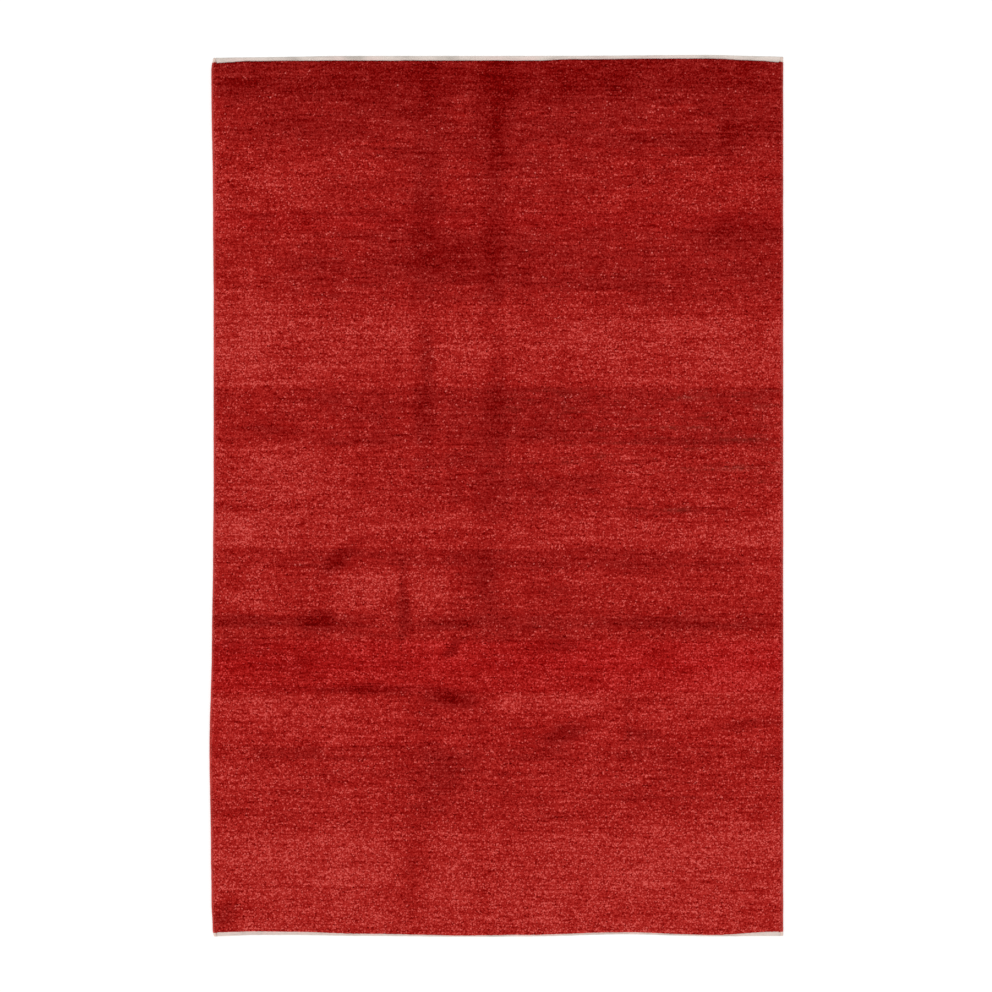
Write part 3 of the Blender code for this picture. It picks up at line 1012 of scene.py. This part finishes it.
def rim_and_field(count, inset_column):
    """Shares, insets and height shares of a grid's lines: the rim's, the field's, the far rim's."""
    rim_insets = np.array([getattr(row, inset_column) for row in PILE_RIM])
    rim_heights = np.array([row.height_share for row in PILE_RIM])
    shares = np.concatenate([np.zeros(len(PILE_RIM)), np.linspace(0, 1, count), np.ones(len(PILE_RIM))])
    insets = np.concatenate([rim_insets, np.full(count, FIELD_INSET), rim_insets[::-1]])
    heights = np.concatenate([rim_heights, np.ones(count), rim_heights[::-1]])
    return shares, insets, heights


def make_pile(settings, material):
    """The cut surface of the pile and its rounded rim, in strips that share their edges' points."""
    edges = pile_outline()
    top_of = surface_reader("pile")
    low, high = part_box("pile")
    columns = round((high.x - low.x) / settings.knot_spacing)
    rows = round((high.y - low.y) / settings.knot_spacing)
    u, inset_x, height_x = rim_and_field(columns, "inset_side")
    v, inset_y, height_y = rim_and_field(rows, "inset_end")
    shape = (len(u), len(v))
    u, v = np.broadcast_to(u[:, None], shape), np.broadcast_to(v[None, :], shape)
    inset_x, inset_y = np.broadcast_to(inset_x[:, None], shape), np.broadcast_to(inset_y[None, :], shape)
    x, y = place_in(edges, u, v, inset_x, inset_y)
    share = np.minimum(height_x[:, None], height_y[None, :])

    rng = np.random.default_rng(5)
    free = np.where(share < 1.0, RIM_STRAY, FIELD_STRAY) * settings.knot_spacing
    x = x + rng.uniform(-1, 1, shape) * free * (share > 0.0)
    y = y + rng.uniform(-1, 1, shape) * free * (share > 0.0)
    tufts = rng.normal(0.0, 1.0, shape).clip(-TUFT_LIMIT, TUFT_LIMIT)
    row_lift = rng.normal(0.0, 1.0, (1, shape[1]))
    clumps = unevenness(x, y, CLUMPS)
    relief = settings.tuft_unevenness * (tufts + ROW_LIFT * row_lift) + settings.clump_height * clumps
    relief = relief + NAP_RELIEF * nap_at(x, y)
    z = PILE_FOOT + (top_of(x, y) - PILE_FOOT) * share + relief * share

    # Painted shade down the rim at the ends and painted light along the sides, laid into the tone
    shade = np.where(v > 0.5, TOP_SHADE, BOTTOM_SHADE) * (1.0 - height_y[None, :]) ** 0.5
    light = SIDE_LIGHT * (1.0 - height_x[:, None]) ** 0.5
    # Taller tufts and clumps are painted lighter and lower ones darker: painted light and shade
    tone = tone_at(x, y) + TUFT_PAINTED_LIGHT * tufts + CLUMP_PAINTED_LIGHT * clumps - shade + light
    brown, crimson = brown_at(x, y), crimson_at(x, y)
    pieces = []
    cuts = np.linspace(0, shape[0] - 1, settings.strips + 1).round().astype(int)
    for number, (start, end) in enumerate(zip(cuts, cuts[1:]), 1):
        part = slice(start, end + 1)
        points = np.stack([a[part].ravel() for a in (x, y, z)], axis=1)
        quads = grid_quads(end + 1 - start, shape[1])
        values = {"tone": tone[part], "brown": brown[part], "crimson": crimson[part]}
        piece = add_piece(f"pile_strip_{number}", points, quads, material, values)
        write_map(piece, *folded(share_of(points[:, 0])[quads], share_of(points[:, 1])[quads], 2))
        pieces.append(piece)
    return pieces


def tuft_shapes(foot, outward, lean, height, width, rng):
    """Leaning four-sided tufts with blunt cut tips: points, faces, and each corner's place on the map.

    Every tuft has its own small square of the map.
    """
    count, sides = len(foot), TUFT_SIDES
    turn = rng.uniform(0, 2 * math.pi, (count, 1)) + np.arange(sides) * 2 * math.pi / sides
    rings = []
    for shape in TUFT_RINGS:
        middle = foot + outward * (lean * shape.lean)[:, None]
        middle[:, 2] += height * shape.height
        radius = (width * shape.thickness / 2)[:, None]
        ring = np.stack([middle[:, :1] + radius * np.cos(turn), middle[:, 1:2] + radius * np.sin(turn),
                         np.broadcast_to(middle[:, 2:], turn.shape)], axis=2)
        rings.append(ring)
    points = np.stack(rings, axis=1).reshape(-1, 3)
    faces, across, along = [], [], []
    for ring in range(len(TUFT_RINGS) - 1):
        for k in range(sides):
            corners = ((ring, k), (ring, k + 1), (ring + 1, k + 1), (ring + 1, k))
            faces.append([r * sides + s % sides for r, s in corners])
            across.append([s / sides for r, s in corners])
            along.append([TUFT_RING_MAP * r for r, s in corners])
    faces.append([(len(TUFT_RINGS) - 1) * sides + k for k in range(sides)])
    across.append([0.0, 1.0, 1.0, 0.0])
    along.append([TUFT_TIP_MAP, TUFT_TIP_MAP, 1.0, 1.0])
    number = np.arange(count)[:, None, None]
    quads = number * sides * len(rings) + np.array(faces)[None]
    squares = math.ceil(math.sqrt(count))
    column, row = number % squares, number // squares
    across = (column + mixed(TUFT_MARGIN, 1.0 - TUFT_MARGIN, np.array(across)[None])) / squares
    along = (row + mixed(TUFT_MARGIN, 1.0 - TUFT_MARGIN, np.array(along)[None])) / squares
    return points, quads.reshape(-1, 4), across, along


def make_rim_tufts(settings, material):
    """The last rows of cut tufts, which lean out a little all round the pile."""
    edges = pile_outline()
    top_of = surface_reader("pile")
    rng = np.random.default_rng(9)
    points_each = TUFT_SIDES * len(TUFT_RINGS)
    pieces = []
    for name, rim in RIMS.items():
        places, found = edges[name]
        count = round((places[-1] - places[0]) / settings.tuft_spacing)
        feet, leans, heights = [], [], []
        for row in rim.rows:
            along = np.linspace(places[0], places[-1], count)
            along = along + rng.uniform(-RIM_ALONG, RIM_ALONG, count) * settings.tuft_spacing
            along = along.clip(places[0], places[-1])
            inset = row.inset + rng.uniform(0, RIM_INWARD, count)
            out = np.interp(along, places, found) - rim.sign * inset
            x, y = (out, along) if rim.run == 1 else (along, out)
            feet.append(np.stack([x, y, np.full(count, PILE_FOOT)], axis=1))
            heights.append((top_of(x, y) - PILE_FOOT) * row.height * rng.uniform(*RIM_HEIGHTS, count))
            ragged = 1.0 + 0.4 * soft_noise(along, along * 0.0, 0.02, 1.0, 51) + rng.normal(0, 0.25, count)
            lean_by = settings.side_lean if rim.run == 1 else settings.end_lean
            leans.append(lean_by * row.lean * ragged.clip(*RIM_LEANS))
        foot, lean, height = np.concatenate(feet), np.concatenate(leans), np.concatenate(heights)
        width = settings.tuft_width * rng.uniform(*RIM_WIDTHS, len(foot))
        outward = np.zeros((len(foot), 3))
        outward[:, 1 - rim.run] = rim.sign
        height = height * (1.0 - 0.5 * (lean / height) ** 2)
        points, quads, across, along = tuft_shapes(foot, outward, lean, height, width, rng)
        x, y = points[:, 0], points[:, 1]
        own = np.repeat(rng.normal(0.0, RIM_TONE, len(foot)), points_each)
        # Painted shade towards each tuft's foot and painted light on its tip
        painted_depth_shading = np.tile(np.repeat([ring.tone for ring in TUFT_RINGS], TUFT_SIDES), len(foot))
        # Each rim's painted light at the sides and painted shade at the top end is added to the tone here
        values = {"tone": tone_at(x, y) + own + painted_depth_shading + rim.lighter, "brown": brown_at(x, y),
                  "crimson": crimson_at(x, y)}
        piece = add_piece(f"rim_tufts_{name}", points, quads, material, values)
        write_map(piece, across, along)
        pieces.append(piece)
    return pieces


def weave_lines(settings):
    """Shares and insets of the lines across the ground weave: hem, ribs, plain middle, ribs, hem."""
    step = settings.rib_pitch / RIB_LINES
    ribs = np.arange(HEM_ROWS[-1].inset + step, RIBS_REACH, step)
    near = np.concatenate([[row.inset for row in HEM_ROWS], ribs])
    shares = np.concatenate([np.zeros(len(near)), np.linspace(0.0, 1.0, MIDDLE_LINES), np.ones(len(near))])
    return shares, np.concatenate([near, np.full(MIDDLE_LINES, RIBS_REACH), near[::-1]])


def weave_map(x, y, over, under, wall, first_under):
    """Each corner's place on the map: the back below, the two flat-woven ends above it, the edge on top."""
    across, along = share_of(x), share_of(y)
    end = RIBS_REACH / np.ptp(y)
    squeezed = np.interp(along, (0.0, end, 1.0 - end, 1.0), (0.0, 0.46, 0.54, 1.0))
    ends_low, ends_high = ENDS_MAP
    edge_low, edge_high = EDGE_MAP
    number = np.arange(len(wall))
    start, stop = number / len(wall), (number + 1) / len(wall)
    places = (
        (across[over], mixed(ends_low, ends_high, squeezed[over])),
        (across[under - first_under], BACK_MAP * along[under - first_under]),
        (np.stack([stop, stop, start, start], axis=1),
         np.broadcast_to((edge_low, edge_high, edge_high, edge_low), wall.shape)),
    )
    beside, up = (np.concatenate([part[k] for part in places]) for k in (0, 1))
    return mixed(MAP_MARGIN, 1.0 - MAP_MARGIN, beside), mixed(MAP_MARGIN, 1.0 - MAP_MARGIN, up)


def make_ground_weave(settings, wool, back):
    """The ground weave: ribbed flat-woven ends with a turned hem, and the knotted back underneath."""
    edges, pile_edges = outline_of("foundation"), pile_outline()
    v, inset = weave_lines(settings)
    u = np.linspace(0.0, 1.0, settings.columns)
    shape = (len(u), len(v))
    u, v = np.broadcast_to(u[:, None], shape), np.broadcast_to(v[None, :], shape)
    inset = np.broadcast_to(inset[None, :], shape)
    x, y = place_in(edges, u, v, 0.0, inset)
    hem_insets, hem_heights = [r.inset for r in HEM_ROWS], [r.height for r in HEM_ROWS]
    z = np.interp(inset, hem_insets + [HEM_WIDTH, HEM_WIDTH + HEM_STEP],
                  hem_heights + [HEM_ROWS[-1].height, CLOTH_HEIGHT])
    stitched = np.exp(-((inset - HEM_WIDTH) / STITCH_WIDTH) ** 2)
    row = inset / settings.rib_pitch + 0.10 * soft_noise(x, y, 0.05, 0.05, 61)
    rib = np.abs(np.sin(math.pi * row)) ** RIB_ROUNDNESS - RIB_MIDDLE
    fade = eased(inset / RIB_FADE) * eased((RIBS_REACH - inset) / RIB_FADE)
    uneven = 0.00025 * soft_noise(x, y, 0.02, 0.02, 62) * (inset < RIBS_REACH)
    z = z + settings.rib_height * rib * fade - STITCH_DEPTH * stitched + uneven
    wander = 0.0005 * soft_noise(x, y, 0.013, 1.0, 63) * np.exp(-inset / 0.002)
    y_top = y + wander
    top = np.stack([a.ravel() for a in (x, y_top, z)], axis=1)
    bottom = np.stack([a.ravel() for a in (x, y, np.zeros(shape))], axis=1)
    points = np.concatenate([top, bottom])
    over = grid_quads(*shape)
    under = grid_quads(*shape, offset=len(top))[:, ::-1]
    number = np.arange(shape[0] * shape[1]).reshape(shape)
    loop = np.concatenate([number[:-1, 0], number[-1, :-1], number[:0:-1, -1], number[0, :0:-1]])
    after = np.roll(loop, -1)
    wall = np.stack([loop, loop + len(top), after + len(top), after], axis=1)[:, ::-1]
    quads = np.concatenate([over, under, wall])

    off_pile = np.maximum(y - edge_at(pile_edges, "top", x), edge_at(pile_edges, "bottom", x) - y)
    bleed = BLEED * np.exp(-(off_pile / BLEED_REACH).clip(0.0, 9.0) ** 1.5)
    bleed = bleed * (0.65 + 0.35 * soft_noise(x, y, 0.03, 0.03, 64))
    bleed = bleed + 0.5 * soft_noise(x, y, 0.06, 0.02, 65).clip(0.0, 1.0)
    piece = add_piece("ground_weave", points, quads, wool, {"bleed": np.concatenate([bleed.ravel()] * 2)})
    piece.data.materials.append(back)
    knotted = (off_pile < 0.0).ravel()[under - len(top)].all(axis=1)
    slots = np.concatenate([np.zeros(len(over)), knotted, np.zeros(len(wall))]).astype(np.int32)
    piece.data.polygons.foreach_set("material_index", slots)
    rounded = np.arange(len(quads)) < len(over)
    piece.data.polygons.foreach_set("use_smooth", rounded)
    write_map(piece, *weave_map(x.ravel(), y.ravel(), over, under, wall, len(top)))
    return piece


def make_side_cord(name, node, side, outward, settings, material):
    """One side cord: outer warps wrapped in slanting turns of yarn, thinner beside the flat weave."""
    places, outer = feel_side(node, CORD_HEIGHT / 2, side)
    low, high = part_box(node)
    pile_low, pile_high = (edge[1][0 if side == "left" else -1] for edge in (
        outline_of("pile")["bottom"], outline_of("pile")["top"]))
    rings = round((high.y - low.y) / settings.turn_pitch) * CORD_RINGS
    y = np.linspace(low.y, high.y, rings + 1)[:, None]
    past_pile = np.maximum(pile_low - y, y - pile_high)
    angle = np.arange(CORD_SIDES)[None, :] * 2.0 * math.pi / CORD_SIDES - math.pi / 2
    crown = np.abs(np.sin(math.pi * y / settings.turn_pitch + angle / 2)) ** CROWN_ROUNDNESS
    groove = settings.turn_relief * (1.0 - crown)
    uneven = 1.0 + unevenness(y, y * 0.0, CORD_UNEVENNESS)
    closing = np.minimum(y - low.y, high.y - y) / (CORD_WIDTH * CORD_CLOSING)
    closing = np.sqrt(1.0 - (1.0 - closing.clip(0.0, 1.0)) ** 2).clip(CORD_TIP, 1.0)
    thin = 1.0 - CORD_THINNING * eased(past_pile / CORD_THIN_LENGTH)
    body = CORD_WIDTH / 2 + CORD_OVERLAP / 2
    half = (body - groove) * uneven * closing
    tall = (CORD_HEIGHT / 2 - groove) * uneven * closing * thin
    centre = np.interp(y, places, outer) - outward * (body - CORD_OUTWARD * thin)
    x = centre + half * np.cos(angle)
    level = CORD_HEIGHT / 2 * thin * closing ** CORD_SINKING
    z = (level + tall * np.sin(angle) * CORD_FULLNESS).clip(0.0, 1.0)
    y_all = np.broadcast_to(y, x.shape)
    points = np.stack([x.ravel(), y_all.ravel(), z.ravel()], axis=1)

    number = np.arange(points.shape[0]).reshape(rings + 1, CORD_SIDES)
    after = np.roll(number, -1, axis=1)
    walls = np.stack([number[:-1], after[:-1], after[1:], number[1:]], axis=2).reshape(-1, 4)
    ring, side_number = (a.ravel()[:, None] for a in np.mgrid[:rings, :CORD_SIDES])
    across = (side_number + np.array([[0, 1, 1, 0]])) / CORD_SIDES
    along = (ring + np.array([[0, 0, 1, 1]])) / rings * CORD_MAP
    beside, up = folded(across, along, CORD_MAP_COLUMNS)
    fan = np.array([(0, k, k + 1, k + 2) for k in range(1, CORD_SIDES - 1, 2)])
    caps = np.concatenate([number[0][fan], number[-1][fan[:, ::-1]]])
    turn = np.concatenate([angle[0][fan], angle[0][fan[:, ::-1]]])
    middle = np.repeat(CAPS_ACROSS, len(fan))[:, None]
    cap_across, cap_along = middle + CAP_RADIUS * np.cos(turn), CAPS_ALONG + CAP_RADIUS * np.sin(turn)
    quads = np.concatenate([walls, caps])

    undyed = np.broadcast_to(eased((past_pile + 0.001) / 0.002), x.shape)
    # The crown of each turn is painted lighter and its grooves darker: painted light and shade
    tone = CORD_TONE + CROWN_PAINTED_LIGHT * (crown - CROWN_MIDDLE) + LOT_TONE * (tone_at(x, y_all) - LOT_MIDDLE)
    piece = add_piece(name, points, quads, material, {"tone": tone, "undyed": undyed})
    piece.data.polygons.foreach_set("use_smooth", np.arange(len(quads)) < len(walls))
    write_map(piece, np.concatenate([beside, cap_across]), np.concatenate([up, cap_along]))
    return piece


def declare(piece, slot, *nodes):
    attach(piece, "root")
    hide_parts(*nodes)


def shared_pile_wool(context):
    """The pile's wool, made once and worn by the strips and the rim."""
    found = bpy.data.materials.get("dyed pile wool")
    return found or pile_wool(context.scene.rug_pile)


class RUG_OT_pile(Operator):
    """Make the knotted pile"""

    bl_idname = "rug.make_pile"
    bl_label = "Knotted Pile"

    def execute(self, context):
        for piece in make_pile(context.scene.rug_pile, shared_pile_wool(context)):
            declare(piece, "pile_wool", "pile")
        return {"FINISHED"}


class RUG_OT_rim(Operator):
    """Make the rows of tufts round the pile's rim"""

    bl_idname = "rug.make_rim"
    bl_label = "Rim Tufts"

    def execute(self, context):
        for piece in make_rim_tufts(context.scene.rug_rim, shared_pile_wool(context)):
            declare(piece, "pile_wool", "pile")
        return {"FINISHED"}


class RUG_OT_ground(Operator):
    """Make the ground weave with its flat-woven ends"""

    bl_idname = "rug.make_ground"
    bl_label = "Ground Weave"

    def execute(self, context):
        pile, weave = context.scene.rug_pile, context.scene.rug_weave
        piece = make_ground_weave(weave, ground_wool(weave), knotted_back(pile, weave))
        declare(piece, "ground_weave", "foundation")
        return {"FINISHED"}


class RUG_OT_cords(Operator):
    """Make the overcast cord along each side"""

    bl_idname = "rug.make_cords"
    bl_label = "Side Cords"

    def execute(self, context):
        settings = context.scene.rug_cord
        yarn = overcast_yarn(settings)
        for name, node, side, outward in (
            ("side_cord_left", "selvedge_left", "left", -1.0),
            ("side_cord_right", "selvedge_right", "right", 1.0),
        ):
            declare(make_side_cord(name, node, side, outward, settings, yarn), "selvedge_wool", node)
        return {"FINISHED"}


class RUG_OT_stage(Operator):
    """Make the floor, the lights and the camera"""

    bl_idname = "rug.make_stage"
    bl_label = "Floor, Lights and Camera"

    def execute(self, context):
        settings = context.scene.rug_stage
        scene = context.scene
        scene.view_settings.view_transform = "Standard"
        scene.view_settings.look = "None"

        mesh = bpy.data.meshes.new("floor")
        corners = [(FLOOR_REACH * x, FLOOR_REACH * y, -FLOOR_BELOW) for x, y in FOUR_CORNERS]
        mesh.from_pydata(corners, [], [(0, 1, 2, 3)])
        floor = bpy.data.objects.new("floor", mesh)
        scene.collection.objects.link(floor)
        w = Wiring("pale floor", tuple(settings.floor_colour))
        w.shader.inputs["Base Color"].default_value = (*settings.floor_colour, 1.0)
        w.shader.inputs["Roughness"].default_value = 0.9
        w.shader.inputs["Specular IOR Level"].default_value = 0.1
        mesh.materials.append(w.material)

        world = bpy.data.worlds.new("even fill")
        world.use_nodes = True
        sky = world.node_tree.nodes["Background"]
        sky.inputs["Color"].default_value = (1.0, 1.0, 1.0, 1.0)
        sky.inputs["Strength"].default_value = settings.sky_strength
        scene.world = world

        light = bpy.data.lights.new("key", "SUN")
        light.energy = settings.sun_strength
        light.angle = KEY_SPREAD
        light.color = KEY_TINT
        key = bpy.data.objects.new("key", light)
        key.rotation_euler = (math.pi / 2 - settings.sun_height, 0.0, KEY_TURN)
        scene.collection.objects.link(key)

        camera_data = bpy.data.cameras.new("camera")
        camera_data.lens = settings.lens
        camera = bpy.data.objects.new("camera", camera_data)
        field = PHOTO_SIDE * PHOTO_PIXEL
        camera.location = (PHOTO_SHIFT, 0.0, PHOTO_LEVEL + field * settings.lens / camera_data.sensor_width)
        camera_data.clip_end = CAMERA_REACH
        scene.collection.objects.link(camera)
        scene.camera = camera
        return {"FINISHED"}


class RUG_PT_sidebar(Panel):
    """The rug's sizes and colours, and the buttons that make its pieces"""

    bl_label = "Gabbeh Rug"
    bl_idname = "RUG_PT_sidebar"
    bl_space_type = "VIEW_3D"
    bl_region_type = "UI"
    bl_category = "Rug"

    def draw(self, context):
        for settings, operator in (
            (context.scene.rug_pile, "rug.make_pile"),
            (context.scene.rug_rim, "rug.make_rim"),
            (context.scene.rug_weave, "rug.make_ground"),
            (context.scene.rug_cord, "rug.make_cords"),
            (context.scene.rug_stage, "rug.make_stage"),
        ):
            box = self.layout.box()
            for name in settings.bl_rna.properties.keys():
                if name not in ("rna_type", "name"):
                    box.prop(settings, name)
            box.operator(operator)


SETTINGS = {
    "rug_pile": RugPileSettings,
    "rug_rim": RugRimSettings,
    "rug_weave": RugWeaveSettings,
    "rug_cord": RugCordSettings,
    "rug_stage": RugStageSettings,
}
OPERATORS = (RUG_OT_stage, RUG_OT_ground, RUG_OT_pile, RUG_OT_rim, RUG_OT_cords)
CLASSES = (*SETTINGS.values(), *OPERATORS, RUG_PT_sidebar)


def register():
    for made in CLASSES:
        bpy.utils.register_class(made)
    for name, group in SETTINGS.items():
        setattr(bpy.types.Scene, name, PointerProperty(type=group))


def unregister():
    for name in SETTINGS:
        delattr(bpy.types.Scene, name)
    for made in reversed(CLASSES):
        bpy.utils.unregister_class(made)


def main():
    register()
    bpy.ops.rug.make_stage()
    bpy.ops.rug.make_ground()
    bpy.ops.rug.make_pile()
    bpy.ops.rug.make_rim()
    bpy.ops.rug.make_cords()


if __name__ == "__main__":
    main()
